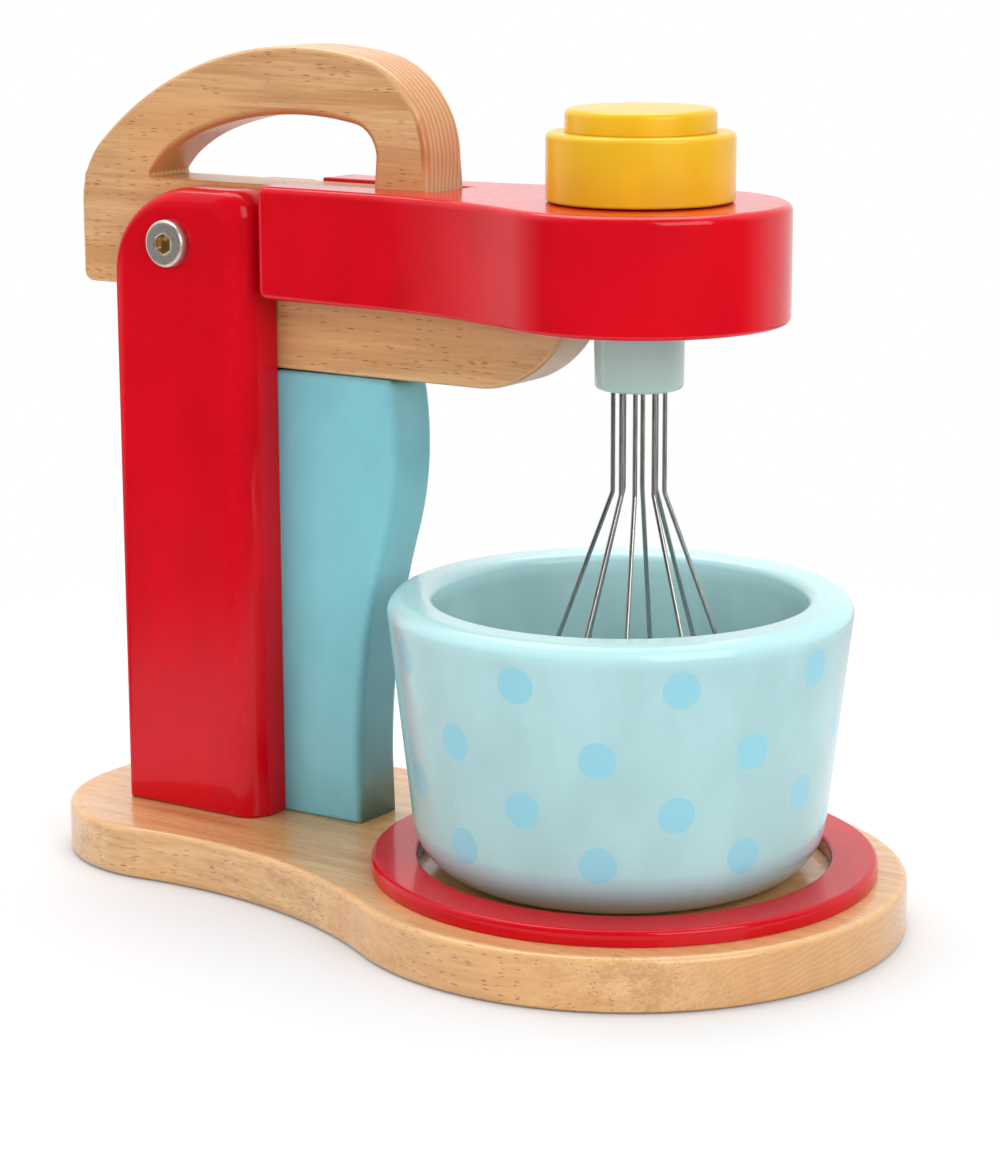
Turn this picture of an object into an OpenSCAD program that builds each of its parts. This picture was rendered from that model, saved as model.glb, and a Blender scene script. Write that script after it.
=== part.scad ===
// A wooden toy stand mixer: a tilting head on a red column, with a whisk, a knob and a loose bowl.
// Millimetres. +X runs from the column to the whisk, +Z is up, and the origin is
// under the middle of the base. The viewer's near side is -Y.

/* [Base board] */
// Distance from the column forward to the centre of the base board's round end
bowl_reach = 109; // [100:0.5:120]
// Thickness of the base board
base_thickness = 15; // [10:0.5:20]
// Radius of the round end under the bowl
base_front_radius = 78; // [74:0.5:86]
// Width of the base board behind the column
base_rear_width = 97; // [92:0.2:106]
// Corner radius of the base board behind the column
base_rear_radius = 42; // [34:1:45]
// Radius of the hollow curve at the waist of the base board
waist_radius = 140; // [90:5:180]

/* [Tray ring] */
// Outer radius of the ring around the bowl
ring_outer_radius = 69.5; // [66:0.5:71]
// Inner radius of the ring around the bowl
ring_inner_radius = 56.8; // [56:0.2:62]
// Height of the ring
ring_height = 4.5; // [3:0.5:8]
// Bevel on the outer top edge of the ring
ring_bevel = 1.6; // [0.8:0.2:2.4]
// How far the ring lies in front of the centre of the round end
ring_offset = 0.5; // [0:0.5:4]

/* [Bowl] */
// How far the loose bowl stands behind the middle of its ring
bowl_offset = 1.6; // [0:0.1:3]
// Outer radius of the bowl at its rim
bowl_rim_radius = 63.6; // [58:0.2:66]
// Outer radius that the bowl's side would have at its foot
bowl_foot_radius = 55; // [50:0.5:56]
// Height of the bowl
bowl_height = 76.8; // [66:0.2:82]
// Thickness of the bowl's wall at the rim
bowl_wall = 12.5; // [8:0.5:15]
// Thickness of the bowl's floor
bowl_floor = 8; // [6:0.5:11]
// Rounding under the outside of the bowl
bowl_bottom_radius = 16; // [14:1:24]
// Rounding at the bottom of the inside of the bowl
bowl_inside_radius = 16; // [10:1:20]
// Rounding of the outer edge of the rim
bowl_rim_outer_round = 4.5; // [2:0.5:5]
// Rounding of the inner edge of the rim
bowl_rim_inner_round = 3; // [1:0.5:3.5]

/* [Column] */
// Distance from the rear end of the base board to the column
column_setback = 24.4; // [20:0.1:32]
// Depth of each red cheek, front to back
cheek_depth = 47.6; // [42:0.1:49]
// Thickness of each red cheek
cheek_thickness = 14.3; // [12:0.1:18]
// Height of each red cheek above the base board
cheek_height = 180.7; // [165:0.1:200]
// Radius of the top rear corner of a cheek
cheek_rear_corner = 25; // [16:1:30]
// Radius of the top front corner of a cheek
cheek_front_corner = 8; // [5:0.5:12]
// Rounding of the outer front edge of a cheek, seen from above
cheek_front_edge = 9; // [4:0.5:12]
// Rounding of the outer rear edge of a cheek, seen from above
cheek_rear_edge = 1.5; // [1:0.5:6]
// Rounding of the outer top edge of a cheek
cheek_top_edge = 5.2; // [1:0.2:7]
// Distance from the rear face of a cheek to the pivot
pivot_inset = 20.6; // [17:0.1:23]
// Distance from the top of a cheek down to the pivot
pivot_drop = 15.4; // [14:0.1:20]

/* [Centre post] */
// Distance from the pivot forward to the rear face of the post
post_rear_offset = 4.5; // [2:0.5:7]
// Distance from the rear face of the post to its front face at the foot
post_depth = 48.7; // [40:0.1:54]
// How far the front of the post bulges forward near its top
post_bulge = 14; // [8:0.5:18]
// Height of the bulge below the top of the post
post_bulge_drop = 18.2; // [14:0.1:26]
// Radius of the hollow lower curve of the post
post_hollow_radius = 235; // [160:5:240]
// Radius of the swelling upper curve of the post
post_swell_radius = 95; // [70:5:110]
// Space between the top of the post and the arm that rests over it
stop_gap = 0.3; // [0.2:0.1:0.8]

/* [Arm and handle] */
// Thickness of the arm board
arm_thickness = 17.8; // [15:0.1:21]
// Distance that the arm reaches behind the pivot
tail_reach = 45; // [38:0.1:45]
// Height of the arm behind the pivot
tail_height = 31.5; // [28:0.1:34]
// Distance from the front end of the arm's rail forward to the axis of the whisk
rail_setback = 16.3; // [15:0.1:30]
// Depth of the rail under the head
rail_depth = 21.3; // [18:0.1:26]
// Radius of the rail's front end
rail_end_radius = 32; // [16:1:36]
// Distance from the pivot forward to the front of the handle
handle_reach = 78.2; // [70:0.1:84]
// Height of the handle above the top of the arm
handle_height = 38.6; // [32:0.2:46]
// Thickness of the handle at its top
handle_band = 18.9; // [12:0.1:20]
// Thickness of the handle's front post
handle_post = 17.7; // [12:0.1:20]
// Outer radius of the front corner of the handle
handle_front_radius = 28; // [20:1:34]
// Distance from the pivot forward to the highest point of the handle's curve
handle_crest = 34.4; // [28:0.1:40]
// Radius of the handle's long outer curve
handle_outer_radius = 103.5; // [100:0.5:120]
// Radius of the handle's rear corner
handle_rear_radius = 25.5; // [8:0.5:28]
// Radius of the finger hole's long curve
hole_curve_radius = 100; // [92:1:110]
// Radius of the finger hole's front corner
hole_front_radius = 9; // [5:1:12]
// Radius of the finger hole's rear corner
hole_rear_radius = 46; // [40:1:54]
// Angle behind the crest of the finger hole at which its rear corner begins
hole_rear_turn = 20.5; // [15:0.5:24]

/* [Head] */
// How far the axis of the whisk lies in front of the centre of the bowl
whisk_offset = 5.6; // [2:0.1:10]
// Radius of the round end of the head
head_radius = 40; // [36:0.5:44]
// Thickness of the head
head_thickness = 31.4; // [28:0.1:34]
// How far the top of the head stands above the pivot
head_rise = 17.4; // [16:0.1:19]
// How far the head stands above the arm between its prongs
head_proud = 1; // [0.4:0.1:2]
// Width over the two prongs of the head
prong_width = 45; // [40:0.5:47]
// Distance from the pivot forward to the rear faces of the prongs
prong_start = 29.4; // [29:0.1:34]
// Distance that the slot runs on in front of the handle
slot_margin = 3; // [1:0.5:6]
// Radius of the hollow curve from the prongs to the round end
flare_radius = 150; // [100:5:180]

/* [Knob] */
// Radius of the knob
knob_radius = 25; // [20:0.5:30]
// Height of the knob
knob_height = 18; // [15:0.5:24]
// Radius of the raised cap on the knob
cap_radius = 20; // [16:0.5:24]
// Height of the raised cap
cap_height = 6.1; // [3:0.1:8]
// Rounding of the knob's top edge
knob_edge = 1.5; // [0.4:0.1:2.4]
// Rounding of the knob's bottom edge
knob_foot_edge = 0.8; // [0.4:0.1:1.6]
// Rounding of the cap's top edge
cap_edge = 1.8; // [0.4:0.1:2.4]

/* [Whisk] */
// Radius of the turned spindle through the head
spindle_radius = 5; // [4:0.1:5.5]
// Radius of the hub under the head
hub_radius = 12; // [10.5:0.1:14]
// Height of the hub
hub_height = 17.9; // [14:0.1:24]
// Radius of the whisk's wire
wire_radius = 0.65; // [0.5:0.05:0.9]
// Radius of the circle on which the wires leave the hub
wire_circle = 6.9; // [6.6:0.1:8]
// Distance below the hub at which the wires bend outwards
kink_drop = 28; // [22:0.1:34]
// Angle at which the wires flare outwards
flare_angle = 20; // [16:0.5:23]
// Distance from that bend down to the widest place of the outer loop
belly_drop = 52.6; // [44:0.1:56]
// How far the wires reach up into the hub
wire_grip = 8; // [5:0.5:10]
// Turn of the whisk about its axis as it stands
whisk_turn = 29; // [0:0.5:45]

/* [Pivot hardware] */
// Radius of the heads of the pivot bolt and nut
bolt_head_radius = 6.7; // [6:0.1:8]
// Height of the heads of the pivot bolt and nut
bolt_head_height = 3; // [2:0.1:4]
// Radius of the bolt's shank
bolt_radius = 3; // [2.5:0.1:3.3]
// Radius of the nut's sleeve, on which the arm turns
sleeve_radius = 4.5; // [4.2:0.1:5]
// Width across the flats of the hexagon sockets
socket_width = 5; // [4:0.5:6]
// Space between the arm and each cheek
side_gap = 0.5; // [0.4:0.1:0.8]
// Radius of the washers beside the arm
washer_radius = 9; // [8:0.5:12]

/* [Dowels and screws] */
// Radius of the hidden dowels
dowel_radius = 4; // [3:0.5:5]
// Depth of the blind dowel holes in the cheeks and prongs
dowel_depth = 8; // [6:0.5:10]
// Depth of the dowel holes in the head and in the rail under it
rail_dowel_depth = 12; // [8:0.5:14]
// Length of the screws under the base board
screw_length = 38; // [30:1:45]
// Radius of the screws' shanks
screw_radius = 2; // [1.5:0.1:2.3]
// Radius of the screws' countersunk heads
screw_head_radius = 4; // [3.5:0.1:5]

/* [Clearances] */
// Radial clearance of a turning fit
running_fit = 0.06; // [0.02:0.01:0.1]
// Radial or side clearance of a glued or screwed fit
glue_fit = 0.05; // [0.02:0.01:0.1]
// Space between the head and the turning knob or hub, taken up by a washer
thrust_gap = 0.3; // [0.3:0.1:1.2]
// Play left beside a washer
washer_play = 0.05; // [0.02:0.01:0.1]

/* [Hidden] */

$fn = 96;
arc_step = 4;          // degrees between the points of a drawn arc
cut = 1;               // how far a cutting solid runs past the face that it opens

red = [0.80, 0.02, 0.07];
beech = [0.86, 0.70, 0.50];
pale_blue = [0.55, 0.77, 0.81];
mint = [0.74, 0.87, 0.87];
grey_green = [0.63, 0.71, 0.67];
yellow = [0.96, 0.74, 0.17];
steel = [0.72, 0.72, 0.71];
nylon = [0.90, 0.90, 0.88];

// Base board
base_length = column_setback + cheek_depth + bowl_reach + base_front_radius;
base_rear_x = -base_length / 2;
base_front_x = base_length / 2;
lobe_x = base_front_x - base_front_radius;
rear_corner = [base_rear_x + base_rear_radius, base_rear_width / 2 - base_rear_radius];
ring_x = lobe_x + ring_offset;
bowl_x = ring_x - bowl_offset;

// Column
cheek_rear_x = base_rear_x + column_setback;
cheek_front_x = cheek_rear_x + cheek_depth;
cheek_top = base_thickness + cheek_height;
slot_width = arm_thickness + 2 * side_gap;
column_width = slot_width + 2 * cheek_thickness;
pivot_x = cheek_rear_x + pivot_inset;
pivot_z = cheek_top - pivot_drop;

// Arm and head
head_top = pivot_z + head_rise;
head_bottom = head_top - head_thickness;
arm_top = head_top - head_proud;
tail_x = pivot_x - tail_reach;
tail_bottom = arm_top - tail_height;
rail_bottom = head_bottom - rail_depth;
handle_front_x = pivot_x + handle_reach;
handle_top = arm_top + handle_height;
crest_x = pivot_x + handle_crest;
slot_end_x = handle_front_x + slot_margin;
prong_rear_x = pivot_x + prong_start;
head_x = bowl_x + whisk_offset;
rail_front_x = head_x - rail_setback;
prong_thickness = (prong_width - arm_thickness) / 2 - glue_fit;
tail_round = 3;
step_round = 5;
prong_dowel_inset = 14;
rail_dowel_x = slot_end_x + 16;

// Post
post_rear_x = pivot_x + post_rear_offset;
post_front_x = post_rear_x + post_depth;
post_top = rail_bottom - stop_gap;
swell_z = post_top - post_bulge_drop;
curve_radii = post_hollow_radius + post_swell_radius;
hollow_z = swell_z - sqrt(2 * post_bulge * curve_radii - post_bulge * post_bulge);
post_width = slot_width;

// Knob, hub and whisk
knob_bottom = head_top + thrust_gap;
knob_top = knob_bottom + knob_height;
spindle_grip = 10;
spindle_top = knob_bottom + spindle_grip;
hub_top = head_bottom - thrust_gap;
hub_bottom = hub_top - hub_height;
hub_web = 2;
spindle_bottom = hub_bottom + wire_grip + hub_web;
hub_taper = 0.2;
hub_round = 1.5;
thrust_washer_radius = 9.5;
loop_angles = [0, 50, 84, 128];   // the loops aren't spaced quite evenly
kink_z = hub_bottom - kink_drop;
belly_z = kink_z - belly_drop;
kink_radius = 4;
wire_joint = 0.04;
wire_clearance = 0.12;
nest_step = (2 * wire_radius + wire_clearance) / (1 + sin(flare_angle));

// Pivot
sleeve_seat = 4;       // how deep the sleeve's end sits in the near cheek
bolt_grip = 9;         // how far the bolt screws into the sleeve
socket_depth = 2.2;
bolt_head_bevel = 1.3;

// Dowels and screws
knob_screw_length = 22;
knob_screw_z = spindle_top + 5;
screw_inset = 12;
cheek_dowel_zs = [base_thickness + 45, base_thickness + 109];
head_cone = screw_head_radius - screw_radius;
screw_sink = 0.5;
dowel_x = (post_rear_x + cheek_front_x) / 2;
cheek_screw_xs = [cheek_rear_x + screw_inset, cheek_front_x - screw_inset];
post_screw_xs = [post_rear_x + screw_inset, post_front_x - screw_inset];
cheek_middle_y = (slot_width + cheek_thickness) / 2;
screw_places = concat([for (x = cheek_screw_xs, side = [-1, 1]) [x, side * cheek_middle_y]],
                      [for (x = post_screw_xs) [x, 0]]);

// Points on an arc about c, from angle a0 to angle a1
function arc(c, r, a0, a1) =
    let (n = max(2, ceil(abs(a1 - a0) / arc_step)))
    [for (i = [0:n]) let (a = a0 + (a1 - a0) * i / n) c + r * [cos(a), sin(a)]];

function unit(v) = v / norm(v);
function turn(u, v) = u[0] * v[1] - u[1] * v[0];
function angle_to(from, to) = atan2(to[1] - from[1], to[0] - from[0]);
function flip(points) = [for (i = [len(points) - 1:-1:0]) [points[i][0], -points[i][1]]];

// Points that round the corner at q, between the lines to p and to s
function corner(p, q, s, r) =
    let (u = unit(p - q), v = unit(s - q), half = acos(u * v) / 2,
         c = q + unit(u + v) * r / sin(half),
         a0 = angle_to(c, q + u * r / tan(half)),
         sweep = (turn(u, v) < 0 ? 1 : -1) * (180 - 2 * half))
    arc(c, r, a0, a0 + sweep);

// An outline through [x, y, radius] corners; the first and last points only guide the path
function rounded_path(guides) =
    [for (i = [1:len(guides) - 2])
        let (p = guides[i - 1], q = guides[i], s = guides[i + 1], r = q[2] == undef ? 0 : q[2])
        each r == 0 ? [[q[0], q[1]]]
                    : corner([p[0], p[1]], [q[0], q[1]], [s[0], s[1]], r)];
function rounded(corners) =
    rounded_path(concat([corners[len(corners) - 1]], corners, [corners[0]]));

// The upper one of the two points at distance rp from p and rq from q
function meet(p, rp, q, rq) =
    let (d = norm(q - p), along = (rp * rp - rq * rq + d * d) / (2 * d),
         u = unit(q - p), off = sqrt(rp * rp - along * along),
         n = [-u[1], u[0]], side = n[1] > 0 ? 1 : -1)
    p + u * along + n * off * side;

// An outline drawn in X and Z, made into a board of the given width centred on y
module board(points, width, y = 0)
    translate([0, y, 0]) rotate([90, 0, 0])
        linear_extrude(width, center = true) polygon(points);

// A round bar along Y
module bar_y(x, z, r, y0, y1)
    translate([x, y0, z]) rotate([-90, 0, 0]) cylinder(r = r, h = y1 - y0);

// An upright round bar
module bar_z(x, y, r, z0, z1)
    translate([x, y, z0]) cylinder(r = r, h = z1 - z0);

// A countersunk screw along +Z, with its head at z = 0; play widens it into its own hole
module countersunk(length, play = 0) {
    cylinder(r1 = screw_head_radius + play, r2 = screw_radius + play, h = head_cone);
    bar_z(0, 0, screw_radius + play, head_cone / 2, length + play);
}

// ---- Base ----

function base_half() =
    let (f = [lobe_x, 0],
         w = meet(rear_corner, base_rear_radius + waist_radius,
                  f, base_front_radius + waist_radius))
    concat(arc(f, base_front_radius, 0, angle_to(f, w)),
           arc(w, waist_radius, angle_to(w, f), angle_to(w, rear_corner)),
           arc(rear_corner, base_rear_radius, angle_to(rear_corner, w), 180));

module base_board() color(beech) difference() {
    linear_extrude(base_thickness) polygon(concat(base_half(), flip(base_half())));
    for (p = screw_places) translate([p[0], p[1], screw_sink]) {
        countersunk(screw_length, glue_fit);
        bar_z(0, 0, screw_head_radius + glue_fit, -screw_sink - cut, 0);
    }
}

module tray_ring() color(red) translate([ring_x, 0, base_thickness])
    rotate_extrude() polygon(rounded([
        [ring_inner_radius, 0],
        [ring_outer_radius, 0],
        [ring_outer_radius, ring_height, ring_bevel],
        [ring_inner_radius, ring_height, ring_bevel / 2]]));

// ---- Column ----

module cheek(side) difference() {
    intersection() {
        board(rounded([
            [cheek_rear_x, base_thickness],
            [cheek_front_x, base_thickness],
            [cheek_front_x, cheek_top, cheek_front_corner],
            [cheek_rear_x, cheek_top, cheek_rear_corner]]),
            cheek_thickness, side * cheek_middle_y);
        linear_extrude(cheek_top + cut) polygon(rounded([
            [cheek_rear_x, side * slot_width / 2],
            [cheek_front_x, side * slot_width / 2],
            [cheek_front_x, side * column_width / 2, cheek_front_edge],
            [cheek_rear_x, side * column_width / 2, cheek_rear_edge]]));
        translate([cheek_rear_x - cut, 0, 0]) rotate([90, 0, 90])
            linear_extrude(cheek_depth + 2 * cut) polygon(rounded([
                [side * slot_width / 2, 0],
                [side * column_width / 2, 0],
                [side * column_width / 2, cheek_top, cheek_top_edge],
                [side * slot_width / 2, cheek_top]]));
    }
    cheek_dowel_bars(glue_fit);
    for (p = screw_places) translate([p[0], p[1], screw_sink]) countersunk(screw_length, glue_fit);
}

module near_cheek() color(red) difference() {
    cheek(-1);
    bar_y(pivot_x, pivot_z, bolt_radius + glue_fit, -column_width / 2 - cut, 0);
    bar_y(pivot_x, pivot_z, sleeve_radius + glue_fit, -slot_width / 2 - sleeve_seat, 0);
}

module far_cheek() color(red) difference() {
    cheek(1);
    bar_y(pivot_x, pivot_z, sleeve_radius + glue_fit, 0, column_width / 2 + cut);
}

module centre_post() color(pale_blue) difference() {
    board(concat(
        [[post_rear_x, base_thickness], [post_front_x, base_thickness]],
        arc([post_front_x + post_hollow_radius, hollow_z], post_hollow_radius, 180,
            180 - acos(1 - post_bulge / curve_radii)),
        arc([post_front_x + post_bulge - post_swell_radius, swell_z], post_swell_radius,
            -acos(1 - post_bulge / curve_radii), asin(post_bulge_drop / post_swell_radius)),
        [[post_rear_x, post_top]]),
        post_width);
    cheek_dowel_bars(glue_fit);
    for (p = screw_places) translate([p[0], p[1], screw_sink]) countersunk(screw_length, glue_fit);
}

module cheek_dowel_bars(play = 0) for (z = cheek_dowel_zs)
    bar_y(dowel_x, z, dowel_radius + play,
          -slot_width / 2 - dowel_depth - play, slot_width / 2 + dowel_depth + play);

module cheek_dowels() color(beech) cheek_dowel_bars();

module base_screws() color(steel)
    for (p = screw_places) translate([p[0], p[1], screw_sink]) countersunk(screw_length);

// ---- Pivot ----

// A flat round bolt head at y = 0 with a bevelled edge and a hexagon socket, facing -Y
module socket_head() rotate([90, 0, 0]) difference() {
    union() {
        cylinder(r = bolt_head_radius, h = bolt_head_height - bolt_head_bevel);
        translate([0, 0, bolt_head_height - bolt_head_bevel])
            cylinder(r1 = bolt_head_radius, r2 = bolt_head_radius - bolt_head_bevel,
                     h = bolt_head_bevel);
    }
    translate([0, 0, bolt_head_height - socket_depth])
        cylinder(r = socket_width / sqrt(3), h = socket_depth + cut, $fn = 6);
}

module pivot_bolt() color(steel) {
    translate([pivot_x, -column_width / 2, pivot_z]) socket_head();
    bar_y(pivot_x, pivot_z, bolt_radius, -column_width / 2,
          -slot_width / 2 - sleeve_seat + bolt_grip);
}

module pivot_nut() color(steel) difference() {
    union() {
        translate([pivot_x, column_width / 2, pivot_z]) mirror([0, 1, 0]) socket_head();
        bar_y(pivot_x, pivot_z, sleeve_radius, -slot_width / 2 - sleeve_seat, column_width / 2);
    }
    bar_y(pivot_x, pivot_z, bolt_radius + glue_fit, -slot_width / 2 - sleeve_seat - cut,
          -slot_width / 2 - sleeve_seat + bolt_grip + glue_fit);
}

module pivot_washers() color(nylon) for (side = [-1, 1]) difference() {
    bar_y(pivot_x, pivot_z, washer_radius,
          side > 0 ? slot_width / 2 - side_gap + washer_play : -slot_width / 2,
          side > 0 ? slot_width / 2 : -slot_width / 2 + side_gap - washer_play);
    bar_y(pivot_x, pivot_z, sleeve_radius + glue_fit, -slot_width, slot_width);
}

// ---- Arm and head ----

// Centre of a corner of radius r at x, which lies inside an arc of radius big about c
function inner_corner(c, big, x, r) = [x, c[1] + sqrt(pow(big - r, 2) - pow(x - c[0], 2))];

// Angle at which an arc of radius r about c leaves the top of the arm, and the point below
// it on the arm where the arc begins higher up
function rise(c, r) = asin(max(0, arm_top - c[1]) / r);
function foot(c, r) = c[1] > arm_top ? [[c[0] + r, arm_top]] : [];

// The handle's outer curve, from the top of the arm in front to the rear end of the arm
function handle_curve() =
    let (c = [crest_x, handle_top - handle_outer_radius],
         front = inner_corner(c, handle_outer_radius, handle_front_x - handle_front_radius,
                              handle_front_radius),
         rear = inner_corner(c, handle_outer_radius, tail_x + handle_rear_radius,
                             handle_rear_radius))
    concat(foot(front, handle_front_radius),
           arc(front, handle_front_radius, rise(front, handle_front_radius), angle_to(c, front)),
           arc(c, handle_outer_radius, angle_to(c, front), angle_to(c, rear)),
           arc(rear, handle_rear_radius, angle_to(c, rear), 180));

function finger_hole() =
    let (c = [crest_x, handle_top - handle_band - hole_curve_radius],
         front = inner_corner(c, hole_curve_radius,
                              handle_front_x - handle_post - hole_front_radius,
                              hole_front_radius),
         turn_back = 90 + hole_rear_turn,
         rear = c + (hole_curve_radius - hole_rear_radius) * [cos(turn_back), sin(turn_back)])
    concat(foot(front, hole_front_radius),
           arc(front, hole_front_radius, rise(front, hole_front_radius), angle_to(c, front)),
           arc(c, hole_curve_radius, angle_to(c, front), turn_back),
           arc(rear, hole_rear_radius, turn_back, 180 - rise(rear, hole_rear_radius)));

// The rail's front end, from its underside up to the head
function rail_end() =
    let (sweep = acos(max(0, 1 - rail_depth / rail_end_radius)))
    concat(arc([rail_front_x - rail_end_radius * sin(sweep), rail_bottom + rail_end_radius],
               rail_end_radius, -90, sweep - 90),
           rail_depth > rail_end_radius ? [[rail_front_x, head_bottom]] : []);

module arm_board() color(beech) difference() {
    board(concat(
        rounded_path([
            [tail_x, handle_top],
            [tail_x, tail_bottom, tail_round],
            [post_rear_x, tail_bottom, step_round],
            [post_rear_x, rail_bottom, tail_round],
            [rail_front_x, rail_bottom]]),
        rail_end(),
        [[slot_end_x - glue_fit, head_bottom], [slot_end_x - glue_fit, arm_top]],
        handle_curve()),
        arm_thickness);
    board(finger_hole(), arm_thickness + 2 * cut);
    bar_y(pivot_x, pivot_z, sleeve_radius + running_fit, -arm_thickness, arm_thickness);
    prong_dowel_bars(glue_fit);
    rail_dowel_bar(glue_fit);
}

function head_half() =
    let (h = [head_x, 0],
         side = prong_width / 2 + flare_radius,
         w = [head_x - sqrt(pow(head_radius + flare_radius, 2) - side * side), side])
    concat(arc(h, head_radius, 0, angle_to(h, w)),
           arc(w, flare_radius, angle_to(w, h), -90),
           rounded_path([[w[0], prong_width / 2], [prong_rear_x, prong_width / 2, tail_round],
                         [prong_rear_x, 0]]));

module head_block() color(red) difference() {
    translate([0, 0, head_bottom]) linear_extrude(head_thickness)
        polygon(concat(head_half(), flip(head_half())));
    translate([prong_rear_x - cut, -arm_thickness / 2 - glue_fit, head_bottom - cut])
        cube([slot_end_x - prong_rear_x + cut, arm_thickness + 2 * glue_fit,
              head_thickness + 2 * cut]);
    bar_z(head_x, 0, spindle_radius + running_fit, head_bottom - cut, head_top + cut);
    prong_dowel_bars(glue_fit);
    rail_dowel_bar(glue_fit);
}

module prong_dowel_bars(play = 0)
    for (x = [prong_rear_x + prong_dowel_inset, slot_end_x - prong_dowel_inset])
        bar_y(x, (head_top + head_bottom) / 2, dowel_radius + play,
              -arm_thickness / 2 - dowel_depth - play, arm_thickness / 2 + dowel_depth + play);

module rail_dowel_bar(play = 0)
    bar_z(rail_dowel_x, 0, dowel_radius + play, head_bottom - rail_dowel_depth - play,
          head_bottom + rail_dowel_depth + play);

module prong_dowels() color(beech) prong_dowel_bars();
module rail_dowel() color(beech) rail_dowel_bar();

// ---- Knob, hub and whisk ----

module thrust_washers() color(nylon)
    for (z = [head_top, head_bottom - thrust_gap + washer_play]) difference() {
        bar_z(head_x, 0, thrust_washer_radius, z, z + thrust_gap - washer_play);
        bar_z(head_x, 0, spindle_radius + running_fit, z - cut, z + thrust_gap + cut);
    }

module spindle() color(beech) difference() {
    bar_z(head_x, 0, spindle_radius, spindle_bottom, spindle_top);
    knob_screw_place() countersunk(knob_screw_length, glue_fit);
}

module knob_screw_place()
    translate([head_x, 0, knob_screw_z]) mirror([0, 0, 1]) children();

module knob() color(yellow) difference() {
    translate([head_x, 0, knob_bottom]) rotate_extrude() polygon(rounded([
        [0, 0],
        [knob_radius, 0, knob_foot_edge],
        [knob_radius, knob_height, knob_edge],
        [0, knob_height]]));
    bar_z(head_x, 0, spindle_radius + glue_fit, knob_bottom - cut, spindle_top + glue_fit);
    knob_screw_place() countersunk(knob_screw_length, glue_fit);
    bar_z(head_x, 0, screw_head_radius + glue_fit, knob_screw_z, knob_top + cut);
}

module knob_cap() color(yellow) translate([head_x, 0, knob_top])
    rotate_extrude() polygon(rounded([
        [0, 0], [cap_radius, 0], [cap_radius, cap_height, cap_edge], [0, cap_height]]));

module knob_screw() color(steel) knob_screw_place() countersunk(knob_screw_length);

module hub() color(grey_green) difference() {
    translate([head_x, 0, hub_bottom]) rotate_extrude() polygon(rounded([
        [0, 0],
        [hub_radius - hub_taper / 2, 0, hub_round],
        [hub_radius + hub_taper / 2, hub_height],
        [0, hub_height]]));
    bar_z(head_x, 0, spindle_radius + glue_fit, spindle_bottom - glue_fit, hub_top + cut);
    for (a = loop_angles, side = [-1, 1])
        translate([head_x, 0, 0]) rotate([0, 0, whisk_turn + a])
            bar_z(side * wire_circle, 0, wire_radius + glue_fit, hub_bottom - cut,
                  hub_bottom + wire_grip + glue_fit);
}

// A length of bent wire: an arc of radius r about c, in the XZ plane
module wire_bend(c, r, a0, a1)
    translate([c[0], 0, c[1]]) rotate([90, 0, 0]) rotate([0, 0, a0])
        rotate_extrude(angle = a1 - a0, $fn = 96) translate([r, 0])
            circle(r = wire_radius, $fn = 24);

// A straight length of wire from p to q in the XZ plane, with a round joint at each end
// that bridges the small space left before the next bend
module wire_run(p, q) {
    d = unit(q - p);
    s = p + d * wire_joint;
    translate([s[0], 0, s[1]]) rotate([0, 90 - angle_to(p, q), 0])
        cylinder(r = wire_radius, h = norm(q - p) - wire_joint, $fn = 24);
    translate([p[0], 0, p[1]]) sphere(r = wire_radius + wire_joint / 2, $fn = 24);
}

// Loop number i, counted from the outermost, which passes under the others
module whisk_loop(i) {
    centre = belly_z + i * nest_step;
    r = wire_circle * cos(flare_angle) + (kink_z - centre) * sin(flare_angle);
    bend_z = kink_z + kink_radius * tan(flare_angle / 2);
    bend = [wire_circle + kink_radius, bend_z];
    below_bend = bend - kink_radius * [cos(flare_angle), sin(flare_angle)];
    flare_end = [0, centre] + r * [cos(flare_angle), sin(flare_angle)];
    slope = unit(below_bend - flare_end);
    color(steel) translate([head_x, 0, 0]) rotate([0, 0, whisk_turn + loop_angles[i]]) {
        for (side = [0, 1]) mirror([side, 0, 0]) {
            wire_run([wire_circle, bend_z], [wire_circle, hub_bottom + wire_grip]);
            wire_bend(bend, kink_radius, 180, 180 + flare_angle);
            wire_run(flare_end, below_bend - slope * wire_joint);
            translate([below_bend[0], 0, below_bend[1]])
                sphere(r = wire_radius + wire_joint / 2, $fn = 24);
        }
        wire_bend([0, centre], r, 180 - flare_angle, 360 + flare_angle);
    }
}
module whisk_loop_1() whisk_loop(0);
module whisk_loop_2() whisk_loop(1);
module whisk_loop_3() whisk_loop(2);
module whisk_loop_4() whisk_loop(3);

// ---- Bowl ----

module bowl() color(mint) translate([bowl_x, 0, base_thickness])
    rotate_extrude() polygon(rounded([
        [0, 0],
        [bowl_foot_radius, 0, bowl_bottom_radius],
        [bowl_rim_radius, bowl_height, bowl_rim_outer_round],
        [bowl_rim_radius - bowl_wall, bowl_height, bowl_rim_inner_round],
        [bowl_foot_radius - bowl_wall, bowl_floor, bowl_inside_radius],
        [0, bowl_floor]]));

base_board();
tray_ring();
near_cheek();
far_cheek();
centre_post();
cheek_dowels();
base_screws();
pivot_bolt();
pivot_nut();
pivot_washers();
arm_board();
head_block();
prong_dowels();
rail_dowel();
thrust_washers();
spindle();
knob();
knob_cap();
knob_screw();
hub();
whisk_loop_1();
whisk_loop_2();
whisk_loop_3();
whisk_loop_4();
bowl();
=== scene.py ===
"""A wooden toy stand mixer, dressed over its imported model."""
import math

import bmesh
import bpy
from bpy.props import FloatProperty, FloatVectorProperty, IntProperty, PointerProperty
from mathutils import Matrix, Vector
from mathutils.geometry import tessellate_polygon


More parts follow.
